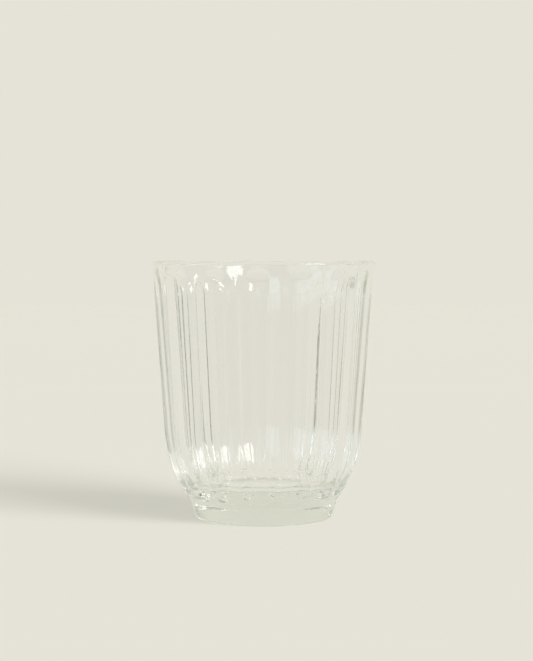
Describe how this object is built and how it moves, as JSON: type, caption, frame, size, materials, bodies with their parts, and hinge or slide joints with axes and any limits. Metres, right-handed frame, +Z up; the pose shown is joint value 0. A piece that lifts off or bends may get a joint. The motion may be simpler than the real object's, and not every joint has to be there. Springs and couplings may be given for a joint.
{
  "type": "tea glass",
  "caption": "Clear pressed tea glass: a tapered bowl with arched vertical flutes under a smooth rim, drawn in at the base and standing on a plain solid round foot.",
  "frame": {"origin": "centre of the ring that the glass stands on, at table level", "axes": "+Z up along the axis of the glass, from the foot to the open rim; +X and +Y lie in the table"},
  "size_m": [0.08, 0.08, 0.0918],
  "materials": {
    "clear_glass": "fire-polished"
  },
  "bodies": {
    "root": {"bowl": "clear_glass", "foot": "clear_glass"}
  },
  "joints": []
}
